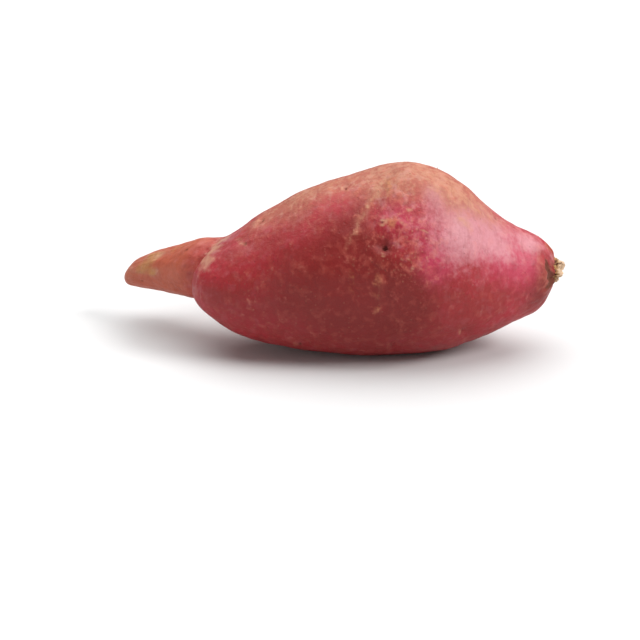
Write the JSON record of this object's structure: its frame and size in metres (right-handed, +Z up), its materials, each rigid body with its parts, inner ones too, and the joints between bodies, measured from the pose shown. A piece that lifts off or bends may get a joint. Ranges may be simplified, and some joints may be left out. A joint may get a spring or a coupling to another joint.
{
  "type": "sweet potato",
  "caption": "Whole raw sweet potato: a fat red-skinned storage root with a hump, a bent tail, a blunt snout and a woody crown stub, lying on its belly.",
  "frame": {"origin": "on the surface that the root rests on, under the middle of its bounding box", "axes": "+X from the tail to the crown, +Y to the back, away from the deep eye, +Z up"},
  "size_m": [0.1884, 0.0778, 0.0797],
  "materials": {
    "skin": "matte maroon to pink skin with tan corky scurf, faintly waxy",
    "bark": "dry, rough, brown bark and pale cut wood of the crown stub and root threads"
  },
  "bodies": {
    "root": {"sweet_potato": "skin"}
  },
  "joints": []
}
